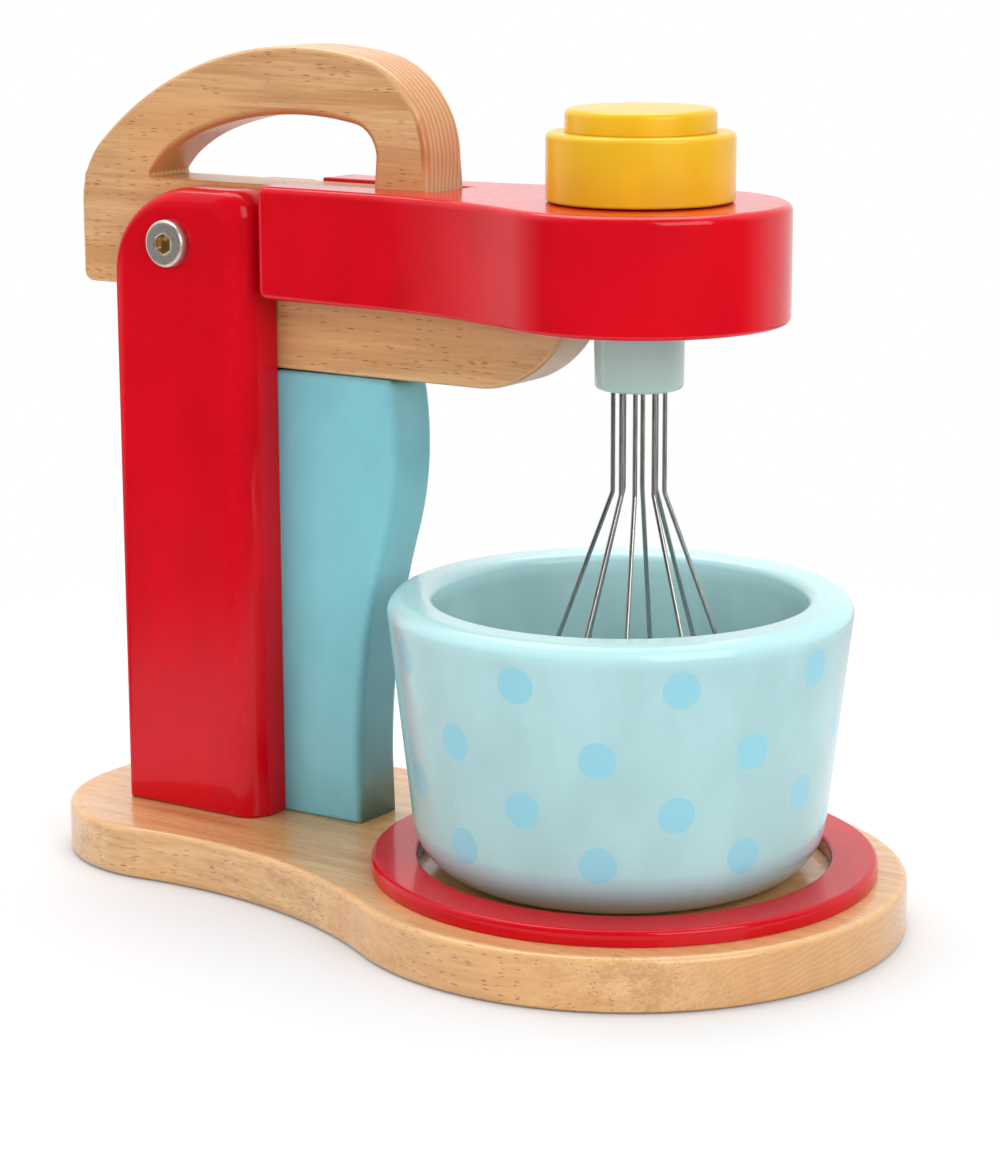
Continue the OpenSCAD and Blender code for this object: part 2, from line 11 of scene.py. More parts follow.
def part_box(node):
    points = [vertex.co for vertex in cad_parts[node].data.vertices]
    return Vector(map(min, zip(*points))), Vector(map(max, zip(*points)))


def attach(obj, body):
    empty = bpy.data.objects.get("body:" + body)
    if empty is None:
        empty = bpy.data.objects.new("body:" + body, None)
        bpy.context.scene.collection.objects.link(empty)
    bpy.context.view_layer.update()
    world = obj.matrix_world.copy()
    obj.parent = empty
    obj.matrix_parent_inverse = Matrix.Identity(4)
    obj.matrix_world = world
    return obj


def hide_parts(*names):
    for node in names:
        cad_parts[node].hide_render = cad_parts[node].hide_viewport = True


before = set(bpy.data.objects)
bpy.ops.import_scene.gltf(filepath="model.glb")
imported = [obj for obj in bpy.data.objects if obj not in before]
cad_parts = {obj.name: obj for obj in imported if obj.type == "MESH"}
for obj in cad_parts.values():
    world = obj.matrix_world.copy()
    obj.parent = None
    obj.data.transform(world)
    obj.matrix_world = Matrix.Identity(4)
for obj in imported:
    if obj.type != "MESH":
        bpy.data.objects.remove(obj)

bl_info = {
    "name": "Wooden toy stand mixer",
    "version": (1, 0, 0),
    "blender": (4, 5, 0),
    "location": "3D View > Sidebar > Toy mixer",
    "description": "Makes the lacquered and oiled pieces of a wooden toy stand mixer",
    "category": "Object",
}

# Blender's lengths are in metres, and the script's own are in millimetres
MM = 0.001


def box_mm(node):
    """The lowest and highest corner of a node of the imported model, in millimetres."""
    low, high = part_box(node)
    return Vector(low) / MM, Vector(high) / MM


BASE_LOW, BASE_HIGH = box_mm("base_board")
RING_LOW, RING_HIGH = box_mm("tray_ring")
CHEEK_LOW, CHEEK_HIGH = box_mm("near_cheek")
POST_LOW, POST_HIGH = box_mm("centre_post")
ARM_LOW, ARM_HIGH = box_mm("arm_board")
HEAD_LOW, HEAD_HIGH = box_mm("head_block")
KNOB_LOW, KNOB_HIGH = box_mm("knob")
CAP_LOW, CAP_HIGH = box_mm("knob_cap")
HUB_LOW, HUB_HIGH = box_mm("hub")
BOWL_LOW, BOWL_HIGH = box_mm("bowl")
BOLT_LOW, BOLT_HIGH = box_mm("pivot_bolt")
NUT_LOW = box_mm("pivot_nut")[0]
SCREWS_HIGH = box_mm("base_screws")[1]

# Where the pieces meet
PIVOT_X = (BOLT_LOW.x + BOLT_HIGH.x) / 2
PIVOT_Z = (BOLT_LOW.z + BOLT_HIGH.z) / 2
HEAD_X = (KNOB_LOW.x + KNOB_HIGH.x) / 2
BOWL_X = (BOWL_LOW.x + BOWL_HIGH.x) / 2
RING_X = (RING_LOW.x + RING_HIGH.x) / 2
POST_DEPTH = 48.7
HANDLE_FRONT_X = PIVOT_X + 78.2
HANDLE_CREST_X = PIVOT_X + 34.4
SLOT_END_X = HANDLE_FRONT_X + 2.95
RAIL_TOP = HEAD_HIGH.z - 1
TAIL_BOTTOM = RAIL_TOP - 31.5

# How finely a board's edge is rounded
EDGE_STEPS = 5

# The photograph's camera: its angles in degrees and its place
CAMERA_TURN, CAMERA_TILT, CAMERA_ROLL = 33.81, 12.57, -0.18
CAMERA_PLACE = (492.26, -718.17, 283.99)

# Zinc on screws: its colour, its roughness and how its marks are stretched
ZINC = ((0.62, 0.60, 0.53), 0.32, (1.2, 1.2, 3.0))


# ---- Outlines, in millimetres ----

def arc(centre, radius, start, end, step=3.0):
    """Points on an arc, from one angle to another in degrees."""
    n = max(3, math.ceil(abs(end - start) / step - 1e-6))
    return [Vector((centre[0] + radius * math.cos(math.radians(start + (end - start) * i / n)),
                    centre[1] + radius * math.sin(math.radians(start + (end - start) * i / n))))
            for i in range(n + 1)]


def angle_to(start, end):
    """The direction from one point to another, in degrees."""
    return math.degrees(math.atan2(end[1] - start[1], end[0] - start[0]))


def corner(before, at, after, radius, steps):
    """Points that round the corner at a point, between the lines to its neighbours."""
    before, at, after = Vector(before[:2]), Vector(at[:2]), Vector(after[:2])
    u, v = (before - at).normalized(), (after - at).normalized()
    half = math.acos(max(-1, min(1, u.dot(v)))) / 2
    centre = at + (u + v).normalized() * radius / math.sin(half)
    start = angle_to(centre, at + u * radius / math.tan(half))
    sweep = (1 if u.x * v.y - u.y * v.x < 0 else -1) * (180 - 2 * math.degrees(half))
    return arc(centre, radius, start, start + sweep, abs(sweep) / steps)


def rounded_path(guides, steps=8):
    """An outline through (x, y, radius) corners; the first and last only guide it."""
    points = []
    for before, at, after in zip(guides, guides[1:], guides[2:]):
        if len(at) > 2 and at[2] > 0:
            points += corner(before, at, after, at[2], steps)
        else:
            points.append(Vector(at[:2]))
    return points


def rounded(corners, steps=8):
    """A closed outline through (x, y, radius) corners."""
    return rounded_path([corners[-1]] + list(corners) + [corners[0]], steps)


def meet(p, from_p, q, from_q):
    """The upper one of the two points at the given distances from p and q."""
    p, q = Vector(p), Vector(q)
    gap = (q - p).length
    along = (from_p ** 2 - from_q ** 2 + gap ** 2) / (2 * gap)
    u = (q - p).normalized()
    side = Vector((-u.y, u.x)) * math.sqrt(from_p ** 2 - along ** 2)
    return p + u * along + (side if side.y > 0 else -side)


def inner_corner(centre, big, x, radius):
    """Centre of a corner arc at x that lies inside a larger arc about a centre."""
    return Vector((x, centre[1] + math.sqrt((big - radius) ** 2 - (x - centre[0]) ** 2)))


def mirrored(points):
    """The same outline on the other side of the X axis, walked back."""
    return [Vector((p.x, -p.y)) for p in reversed(points)]


def circle(x, y, radius, n=40):
    """A round hole, walked clockwise so that the wood lies on its left."""
    return [Vector((x + radius * math.cos(-math.tau * i / n), y + radius * math.sin(-math.tau * i / n)))
            for i in range(n)]


def without_doubles(points):
    """The closed outline without points that lie on their neighbour."""
    return [p for i, p in enumerate(points) if (p - points[i - 1]).length > 0.02]


def inset(points, reach):
    """The outline moved to its left, by its own reach at each point."""
    moved = []
    for i, p in enumerate(points):
        a = (p - points[i - 1]).normalized()
        b = (points[(i + 1) % len(points)] - p).normalized()
        side = Vector((-a.y - b.y, a.x + b.x)).normalized()
        moved.append(p + side * reach[i] / max(0.7, side.dot(Vector((-b.y, b.x)))))
    return moved


# ---- Meshes ----

def placed(context, name, data):
    """A new object in the scene, in the place of an older one of that name."""
    old = bpy.data.objects.get(name)
    if old:
        bpy.data.objects.remove(old, do_unlink=True)
    made = bpy.data.objects.new(name, data)
    context.scene.collection.objects.link(made)
    return made


def finished(context, bm, node, body, finish):
    """Turns a mesh in millimetres into a smooth piece that stands for a node and rides on a body."""
    bmesh.ops.recalc_face_normals(bm, faces=bm.faces)
    bmesh.ops.scale(bm, vec=(MM, MM, MM), verts=bm.verts)
    name = node + "_finished"
    mesh = bpy.data.meshes.new(name)
    bm.to_mesh(mesh)
    bm.free()
    for face in mesh.polygons:
        face.use_smooth = True
    mesh.materials.append(finish)
    piece = placed(context, name, mesh)
    smooth = piece.modifiers.new("Face weighted normals", "WEIGHTED_NORMAL")
    smooth.weight = 100
    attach(piece, body)
    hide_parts(node)


def bridge(bm, rings):
    """Makes the faces between each closed ring of vertices and the next."""
    for a, b in zip(rings, rings[1:]):
        for i in range(len(a)):
            bm.faces.new((a[i - 1], a[i], b[i], b[i - 1]))


def value_at(place, value):
    """The value itself, or what it says for the place if it is a function."""
    return value(place) if callable(value) else value


def board(loops, low, high, edge_low, edge_high, upright=False, pits=(), shades=(1,)):
    """A board cut along closed outlines, of which all but the first are holes.

    Its edges are rounded by a radius, or by a function of the place that gives one. An
    upright board is drawn in X and Z and is as thick as its range of Y. Pits are round
    blind holes in the low face: a centre and a list of (radius, height). Shades say how
    each outline's edge is marked for its material, and may be functions of the place: 1 is
    rubbed pale, which on wood also paints a highlight, and -1 is painted shade with a painted
    reflection of the red head.
    """
    bm = bmesh.new()
    edge_layer = bm.verts.layers.float.new("edge")

    def place(p, height, edge_mark=0.0):
        vert = bm.verts.new((p.x, height, p.y) if upright else (p.x, p.y, height))
        vert[edge_layer] = edge_mark
        return vert

    def rings_of(points, shade):
        rings = []
        for base, sign, edge, turns in ((low, 1, edge_low, range(EDGE_STEPS + 1)),
                                        (high, -1, edge_high, range(EDGE_STEPS, -1, -1))):
            radius = [value_at(p, edge) for p in points]
            for k in turns:
                t = math.pi / 2 * k / EDGE_STEPS
                at = inset(points, [r * (1 - math.sin(t)) for r in radius])
                rings.append([place(p, base + sign * r * (1 - math.cos(t)),
                                    value_at(p, shade) * math.sin(2 * t))
                              for p, r in zip(at, radius)])
        return rings

    def cap(outlines):
        verts = [v for outline in outlines for v in outline]
        flat = [[Vector((v.co.x, v.co.z if upright else v.co.y, 0)) for v in outline]
                for outline in outlines]
        for tri in tessellate_polygon(flat):
            bm.faces.new([verts[i] for i in tri])

    made = [rings_of(without_doubles(points), shades[min(i, len(shades) - 1)])
            for i, points in enumerate(loops)]
    for rings in made:
        bridge(bm, rings)
    low_outlines = [rings[0] for rings in made]
    for centre, depths in pits:
        walls = [[place(p, height) for p in circle(centre[0], centre[1], radius, 32)]
                 for radius, height in depths]
        bridge(bm, walls)
        bm.faces.new(walls[-1])
        low_outlines.append(walls[0])
    cap(low_outlines)
    cap([rings[-1] for rings in made])
    return bm


def turned(profile, place, closed=False, segments=128, into=None):
    """A turned piece. The profile is a list of (radius, height), and a radius may be a
    function of the angle, as in a hexagon socket. A radius of 0 closes the piece."""
    bm = into or bmesh.new()
    rings = []
    for radius, height in profile:
        if not callable(radius) and radius < 1e-6:
            rings.append([bm.verts.new(place @ Vector((0, 0, height)))])
            continue
        ring = []
        for i in range(segments):
            turn = math.tau * i / segments
            r = value_at(turn, radius)
            ring.append(bm.verts.new(place @ Vector((r * math.cos(turn), r * math.sin(turn), height))))
        rings.append(ring)
    for a, b in zip(rings, rings[1:] + (rings[:1] if closed else [])):
        for i in range(segments):
            quad = (a[i - 1 if len(a) > 1 else 0], a[i if len(a) > 1 else 0],
                    b[i if len(b) > 1 else 0], b[i - 1 if len(b) > 1 else 0])
            bm.faces.new(list(dict.fromkeys(quad)))
    return bm


def upright_at(x, y=0.0):
    """The place of a piece turned about an upright axis."""
    return Matrix.Translation((x, y, 0))


def crosswise_at(x, y, z, facing):
    """The place of a piece turned about an axis along Y, which faces -Y or +Y."""
    return Matrix.Translation((x, y, z)) @ Matrix.Rotation(math.radians(-90 * facing), 4, "X")


# ---- Materials ----

class Nodes:
    """The nodes of a material or of the world. An input takes a value or another node's output."""

    def __init__(self, owner):
        owner.use_nodes = True
        self.tree = owner.node_tree
        self.tree.nodes.clear()

    def node(self, kind, inputs=(), **settings):
        made = self.tree.nodes.new(kind)
        for key, value in settings.items():
            setattr(made, key, value)
        for key, value in dict(inputs).items():
            self.feed(made.inputs[key], value)
        return made

    def feed(self, socket, value):
        if isinstance(value, bpy.types.NodeSocket):
            self.tree.links.new(value, socket)
        else:
            socket.default_value = (*value, 1) if socket.type == "RGBA" else value

    def math(self, operation, a, b=0.0):
        return self.node("ShaderNodeMath", {0: a, 1: b}, operation=operation).outputs[0]

    def plus(self, a, b):
        return self.math("ADD", a, b)

    def times(self, a, b):
        return self.math("MULTIPLY", a, b)

    def hypot(self, a, b):
        """The long side of a right triangle whose other sides are a and b."""
        return self.math("SQRT", self.plus(self.times(a, a), self.times(b, b)))

    def vectors(self, operation, *vectors):
        """Vector maths. A length or a dot product is a number."""
        made = self.node("ShaderNodeVectorMath", enumerate(vectors), operation=operation)
        return made.outputs["Value" if operation in ("LENGTH", "DOT_PRODUCT") else "Vector"]

    def parts(self, vector):
        return self.node("ShaderNodeSeparateXYZ", {0: vector}).outputs

    def shaders(self, share, a, b):
        """The first shader, and as much of the second as the share says."""
        return self.node("ShaderNodeMixShader", {0: share, 1: a, 2: b}).outputs[0]


class Finish(Nodes):
    """A material under construction."""

    def __init__(self, name):
        old = bpy.data.materials.get(name)
        if old:
            bpy.data.materials.remove(old)
        self.material = bpy.data.materials.new(name)
        super().__init__(self.material)
        self.surface = self.node("ShaderNodeBsdfPrincipled")
        self.out = self.node("ShaderNodeOutputMaterial", {"Surface": self.surface.outputs[0]})

    def set(self, **values):
        """Feeds the surface's inputs, by their names with _ for a space."""
        for key, value in values.items():
            self.feed(self.surface.inputs[key.replace("_", " ")], value)

    def place(self):
        """The place on the piece, in millimetres."""
        at = self.node("ShaderNodeTexCoord").outputs["Object"]
        return self.node("ShaderNodeVectorMath", {0: at, "Scale": 1 / MM}, operation="SCALE").outputs[0]

    def edges(self):
        """How pale an edge is marked, from 0 to 1, or how dark, from 0 to -1, as the mesh says. On wood the
        pale mark is rubbing with a painted highlight, and the dark one is painted shade with a painted red
        reflection.
        """
        return self.node("ShaderNodeAttribute", attribute_name="edge").outputs["Fac"]

    def noise(self, at, scale, detail, roughness=0.5):
        """Noise from 0 to 1, with as many cells in a millimetre as scale says on each axis."""
        cells = self.vectors("MULTIPLY", at, scale)
        return self.node("ShaderNodeTexNoise", {"Vector": cells, "Scale": 1.0, "Detail": detail,
                                                "Roughness": roughness}).outputs["Fac"]

    def fade(self, value, low, high, to_low=0.0, to_high=1.0):
        """A soft step between the results to_low and to_high."""
        return self.node("ShaderNodeMapRange", {"Value": value, "From Min": low, "From Max": high,
                         "To Min": to_low, "To Max": to_high}, interpolation_type="SMOOTHSTEP").outputs[0]

    def mix(self, share, a, b):
        """The first colour, and as much of the second as the share says."""
        made = self.node("ShaderNodeMix", data_type="RGBA")
        for index, value in ((0, share), (6, a), (7, b)):
            self.feed(made.inputs[index], value)
        return made.outputs[2]

    def bump(self, height, distance, under=None):
        """Relief whose height runs from 0 to 1, and is as deep as the distance in millimetres."""
        inputs = {"Height": height, "Distance": distance * MM, "Strength": 1.0}
        if under is not None:
            inputs["Normal"] = under
        return self.node("ShaderNodeBump", inputs).outputs[0]


def tint(colour, factor):
    """A colour made lighter or darker."""
    return tuple(min(1.0, c * factor) for c in colour)


def lacquered(name, colour, roughness, coat, coat_roughness=0.12, pattern=None):
    """Sprayed colour lacquer on sanded wood: faint mottling, orange peel, thin paint on the edges.
    A pattern is a function that paints over the colour, and a piece with one waves less."""
    f = Finish(name)
    at = f.place()
    cloud = f.noise(at, (0.05, 0.05, 0.03), 3.0)
    paint = f.mix(f.fade(cloud, 0.3, 0.7), tint(colour, 0.93), tint(colour, 1.05))
    scuffs = f.noise(at, (0.35, 0.35, 0.35), 4.0, 0.65)
    thin = f.times(f.edges(), f.fade(scuffs, 0.45, 0.75, 0.0, 0.35))
    paint = f.mix(thin, paint, tint(colour, 1.35))
    if pattern:
        paint = pattern(f, at, paint)
    dust = f.noise(at, (0.8, 0.8, 0.8), 2.0)
    f.set(Base_Color=paint, Coat_Weight=coat, Coat_Roughness=coat_roughness, Specular_IOR_Level=0.06,
          Roughness=f.fade(dust, 0.2, 0.8, roughness - 0.04, roughness + 0.06))
    wave = f.bump(f.noise(at, (0.07, 0.07, 0.05), 1.0), 0.02 if pattern else 0.07)
    orange_peel = f.bump(f.noise(at, (0.9, 0.9, 0.9), 1.0), 0.004, under=wave)
    f.set(Normal=orange_peel, Coat_Normal=orange_peel)
    return f.material


def wooden(name, light, layers, rings, gloss, end_from=0.55, end_to=0.95, foot=False):
    """Lacquered rubberwood with its grain along X. Layers says which way the growth layers lie,
    and rings how strongly they show. End grain shows where a face turns towards X by more than
    end_from, and fully from end_to. A foot gets a painted contact shadow, dark brown, where it meets the
    table."""
    f = Finish(name)
    dark = (light[0] * 0.70, light[1] * 0.55, light[2] * 0.43)
    orange = (light[0] * 0.98, light[1] * 0.80, light[2] * 0.62)
    end_tone = (light[0] * 0.82, light[1] * 0.70, light[2] * 0.56)
    vessel, end_line = (0.28, 0.11, 0.035), (0.44, 0.15, 0.045)
    edge_shade_and_reflection, contact_shade = (0.47, 0.15, 0.04), (0.12, 0.06, 0.03)
    at = f.place()
    y, z = f.parts(at)[1:]
    facing = f.parts(f.node("ShaderNodeTexCoord").outputs["Normal"])
    # Growth layers: the way across them, the way from the middle of their arches, how much they
    # arch and how far they wander
    arch_middle = 215.0
    across, aside, bend, wander = {"Y": (y, f.math("SUBTRACT", z, arch_middle), 0.0012, 6.0),
                                   "Z": (z, y, 0.006, 16.0)}[layers]
    drift = f.noise(at, (0.007, 0.035, 0.035), 2.0)
    arch = f.times(f.times(aside, aside), bend)
    depth = f.plus(f.plus(across, arch), f.times(drift, wander))
    layers_per_mm, end_lines_per_mm = 0.42, 0.52
    grow = f.math("FRACT", f.times(depth, layers_per_mm))
    ring = f.times(f.fade(grow, 0.0, 0.8), f.fade(grow, 0.86, 1.0, 1.0, 0.0))
    fibre = f.noise(at, (0.06, 1.3, 1.3), 4.0, 0.6)
    streak = f.noise(at, (0.012, 0.22, 0.22), 3.0)
    tone = f.plus(f.times(fibre, 0.62), f.times(streak, 0.70))
    tone = f.plus(tone, f.times(ring, 0.24 * rings))
    wood = f.mix(f.fade(tone, 0.42, 0.94), light, dark)
    # Broad patches are more orange
    patch = f.fade(f.noise(at, (0.016, 0.03, 0.03), 1.0), 0.45, 0.65, 0.0, 0.55)
    wood = f.mix(patch, wood, orange)
    # Open vessels: short brown dashes along the grain, each of its own strength
    cells = f.vectors("MULTIPLY", at, (0.22, 1.7, 1.7))
    grid = f.node("ShaderNodeTexVoronoi", {"Vector": cells, "Scale": 1.0, "Randomness": 1.0}).outputs
    chance = f.node("ShaderNodeSeparateColor", {0: grid["Color"]}).outputs[0]
    dash = f.times(f.fade(grid["Distance"], 0.16, 0.34, 1.0, 0.0), f.fade(chance, 0.45, 0.8))
    crowd = f.fade(f.noise(at, (0.02, 0.12, 0.12), 2.0), 0.34, 0.54)
    dash = f.times(f.times(dash, crowd), 0.9)
    wood = f.mix(dash, wood, vessel)
    # End grain is deeper in colour, and its layers show as fine lines
    end = f.fade(f.math("ABSOLUTE", facing[0]), end_from, end_to)
    line = f.fade(f.math("FRACT", f.times(depth, end_lines_per_mm)), 0.35, 0.85)
    end_grain = f.mix(f.times(line, 2.2 * rings), end_tone, end_line)
    wood = f.mix(f.times(end, 0.8), wood, end_grain)
    # Edges: pale marks are rubbed paler and also paint a highlight along the rounding; dark marks are painted
    # shade in dark orange, with a painted reflection of the red head
    wood = f.mix(f.times(f.edges(), 0.25), wood, tint(light, 1.15))
    wood = f.mix(f.times(f.edges(), -0.9), wood, edge_shade_and_reflection)
    # Painted contact shadow: the lowest millimetre of the foot's side is painted dark brown
    if foot:
        contact_shadow = f.times(f.fade(z, 0.3, 1.1, 0.8, 0.0), f.fade(facing[2], -0.95, -0.8))
        wood = f.mix(contact_shadow, wood, contact_shade)
    f.set(Base_Color=wood, Coat_Weight=gloss, Coat_Roughness=0.14,
          Roughness=f.fade(fibre, 0.3, 0.7, 0.36, 0.48))
    f.set(Normal=f.bump(f.math("SUBTRACT", fibre, dash), 0.03),
          Coat_Normal=f.bump(f.noise(at, (0.06, 0.2, 0.2), 2.0), 0.04))
    return f.material


def metal(name, colour, roughness, streaks, socket=None, metallic=1.0):
    """Plated or drawn steel with fine marks, stretched as streaks says. A socket along Y, given
    by its X, Z and radius, is brass yellow inside."""
    f = Finish(name)
    at = f.place()
    marks = f.noise(at, streaks, 4.0, 0.65)
    shade = f.mix(f.fade(marks, 0.3, 0.7), tint(colour, 0.82), colour)
    if socket:
        x, z, radius = socket
        away = f.vectors("LENGTH", f.vectors("MULTIPLY", f.vectors("SUBTRACT", at, (x, 0, z)), (1, 0, 1)))
        inside = f.fade(away, radius - 0.15, radius + 0.15, 1.0, 0.0)
        shade = f.mix(inside, shade, (0.55, 0.30, 0.08))
    f.set(Base_Color=shade, Metallic=metallic,
          Roughness=f.fade(marks, 0.25, 0.75, roughness - 0.06, roughness + 0.08))
    f.set(Normal=f.bump(marks, 0.006))
    return f.material


def plastic(name, colour):
    """Milky nylon with a soft sheen and faint flow marks."""
    f = Finish(name)
    flow = f.noise(f.place(), (0.5, 0.5, 2.0), 3.0)
    f.set(Base_Color=f.mix(f.fade(flow, 0.3, 0.7), tint(colour, 0.92), colour),
          Roughness=f.fade(flow, 0.3, 0.7, 0.38, 0.5), Subsurface_Weight=0.15, Subsurface_Radius=(0.002,) * 3)
    f.set(Normal=f.bump(flow, 0.01))
    return f.material


# ---- Settings ----

def size_setting(name, description, default, low, high):
    """A length setting, from values in millimetres."""
    return FloatProperty(name=name, description=description, default=default * MM, min=low * MM,
                         max=high * MM, subtype="DISTANCE", unit="LENGTH")


def colour_setting(name, description, default):
    """A colour setting."""
    return FloatVectorProperty(name=name, description=description, default=default, size=3, min=0,
                               max=1, subtype="COLOR")


def power_setting(name, description, default):
    """A lamp's power setting, in watts."""
    return FloatProperty(name=name, description=description, default=default, min=0,
                         subtype="POWER", unit="POWER")


class MIXER_PG_sizes(bpy.types.PropertyGroup):
    """Edges, wire and dots of the finished pieces."""
    arm_edge: size_setting("Arm edge", "Rounding of the arm board's edges", 1.3, 0.2, 3)
    base_edge: size_setting("Base edge", "Rounding of the base board's top edge", 2.0, 0.2, 5)
    head_edge: size_setting("Head edge", "Rounding of the head block's edges", 2.2, 0.2, 4)
    cheek_front: size_setting("Cheek front edge", "Rounding of the cheeks' outer front edges", 9, 1, 12)
    cheek_top: size_setting("Cheek top edge", "Rounding of the cheeks' outer top edges", 5.2, 1, 8)
    wire: size_setting("Whisk wire", "Radius of the whisk's wires", 0.65, 0.3, 1)
    dot: size_setting("Dot", "Radius of the dots painted on the bowl", 5.0, 1, 8)
    dots_around: IntProperty(name="Dots around", description="Number of dots in each row on the bowl",
                             default=9, min=4, max=16)


class MIXER_PG_colours(bpy.types.PropertyGroup):
    """Colours of the finishes."""
    red: colour_setting("Red lacquer", "Column, head and ring", (0.62, 0.002, 0.010))
    blue: colour_setting("Blue lacquer", "Post between the cheeks", (0.22, 0.55, 0.61))
    mint: colour_setting("Mint lacquer", "Bowl", (0.38, 0.61, 0.625))
    dots: colour_setting("Dots", "Dots on the bowl", (0.26, 0.58, 0.68))
    hub: colour_setting("Hub lacquer", "Hub under the head", (0.44, 0.61, 0.56))
    yellow: colour_setting("Yellow lacquer", "Knob and its cap", (0.80, 0.46, 0.014))
    base_wood: colour_setting("Base wood", "Light tone of the base board", (0.77, 0.48, 0.22))
    arm_wood: colour_setting("Arm wood", "Light tone of the arm and handle", (0.735, 0.46, 0.22))


class MIXER_PG_stage(bpy.types.PropertyGroup):
    """Camera and light."""
    lens: FloatProperty(name="Lens", description="Focal length on a 36 mm sensor", default=99.68,
                        min=20, max=300, subtype="DISTANCE_CAMERA", unit="CAMERA")
    key: power_setting("Key light", "Power of the large soft light", 6.6)
    fill: power_setting("Fill light", "Power of the side light", 3.0)
    top: power_setting("Top light", "Power of the light overhead", 29.0)
    room: FloatProperty(name="Room light", description="Strength of the pale room around the object",
                        default=0.62, min=0, max=2)


# ---- The stage ----

def light(context, name, place, target, size, power):
    """A soft rectangular lamp at a place in metres, turned towards a target."""
    lamp = bpy.data.lights.new(name, "AREA")
    lamp.shape = "RECTANGLE"
    lamp.size, lamp.size_y = size
    lamp.energy = power
    made = placed(context, name, lamp)
    made.location = place
    made.rotation_euler = (Vector(target) - Vector(place)).to_track_quat("-Z", "Y").to_euler()
    return made


class MIXER_OT_stage(bpy.types.Operator):
    """Set up the camera, the soft lights, the white room and the floor"""
    bl_idname = "mixer.stage"
    bl_label = "Stage"

    def execute(self, context):
        stage = context.scene.mixer_stage
        context.scene.view_settings.view_transform = "Standard"
        self.camera(context, stage.lens)
        light(context, "key_softbox", (1.00, -0.42, 0.58), (0, 0, 0.1), (0.8, 0.8), stage.key)
        side = light(context, "side_softbox", (-0.62, -0.82, 0.50), (0, 0, 0.12), (0.7, 0.7), stage.fill)
        side.visible_glossy = False
        light(context, "top_softbox", (-0.35, 0.40, 1.80), (0, 0, 0.1), (1.7, 1.4), stage.top)
        turn = math.radians(CAMERA_TURN)
        context.scene.world = self.room(stage.room, (-math.sin(turn), math.cos(turn), 0.35))

        bm = bmesh.new()
        bmesh.ops.create_circle(bm, cap_ends=True, segments=96, radius=0.62)
        mesh = bpy.data.meshes.new("floor")
        bm.to_mesh(mesh)
        bm.free()
        floor = placed(context, "floor", mesh)
        mesh.materials.append(self.floor_finish((-math.sin(turn), math.cos(turn), 0)))
        return {"FINISHED"}

    def camera(self, context, lens):
        """The photograph's camera."""
        turn, tilt, roll = (math.radians(a) for a in (CAMERA_TURN, CAMERA_TILT, CAMERA_ROLL))
        right = Vector((math.cos(turn), math.sin(turn), 0))
        back = Vector((math.sin(turn) * math.cos(tilt), -math.cos(turn) * math.cos(tilt), math.sin(tilt)))
        up = back.cross(right)
        across = right * math.cos(roll) + up * math.sin(roll)
        above = up * math.cos(roll) - right * math.sin(roll)
        view = bpy.data.cameras.new("photo_camera")
        view.sensor_width, view.lens = 36, lens
        camera = placed(context, "photo_camera", view)
        place = Matrix((across, above, back)).transposed().to_4x4()
        place.translation = Vector(CAMERA_PLACE) * MM
        camera.matrix_world = place
        context.scene.camera = camera

    def room(self, strength, away):
        """A pale room that looks plain white. In reflections only its far side is white, and away
        is the direction in which that lies."""
        world = bpy.data.worlds.new("white_room")
        w = Nodes(world)
        path = w.node("ShaderNodeLightPath").outputs
        behind = w.vectors("DOT_PRODUCT", w.node("ShaderNodeTexCoord").outputs["Generated"], away)
        far_side = w.node("ShaderNodeMapRange", {"Value": behind, "From Min": -0.2, "From Max": 0.3,
                                                 "To Min": 0.02, "To Max": 1.0}).outputs[0]
        sky, mirrored_room, plain = (
            w.node("ShaderNodeBackground", {"Color": (1, 1, 1), "Strength": s}).outputs[0]
            for s in (strength, far_side, 1.0))
        seen = w.math("MAXIMUM", path["Is Camera Ray"], path["Is Transmission Ray"])
        shine = w.shaders(path["Is Glossy Ray"], sky, mirrored_room)
        w.node("ShaderNodeOutputWorld", {0: w.shaders(seen, shine, plain)})
        return world

    def floor_finish(self, away):
        """White card that keeps the shadow near the object and is plain white farther off. In
        reflections it is whiter in the direction away."""
        f = Finish("floor_card")
        f.set(Base_Color=(0.68, 0.68, 0.69), Roughness=0.7, Specular_IOR_Level=0.2)
        far = f.fade(f.vectors("LENGTH", f.place()), 220.0, 430.0)
        path = f.node("ShaderNodeLightPath").outputs
        seen = f.math("MAXIMUM", path["Is Camera Ray"], f.math("MAXIMUM", path["Is Glossy Ray"],
                                                               path["Is Transmission Ray"]))
        far_side = f.fade(f.vectors("DOT_PRODUCT", f.place(), away), -200.0, 200.0, 0.02, 0.5)
        glow = f.plus(f.times(path["Is Glossy Ray"], f.math("SUBTRACT", far_side, 1.0)), 1.0)
        white, lift = (f.node("ShaderNodeEmission", {"Strength": s}).outputs[0] for s in (glow, 0.1))
        card = f.surface.outputs[0]
        lit = f.node("ShaderNodeAddShader", {0: card, 1: lift}).outputs[0]
        f.feed(f.out.inputs["Surface"], f.shaders(seen, card, f.shaders(far, lit, white)))
        return f.material


# ---- The stand ----

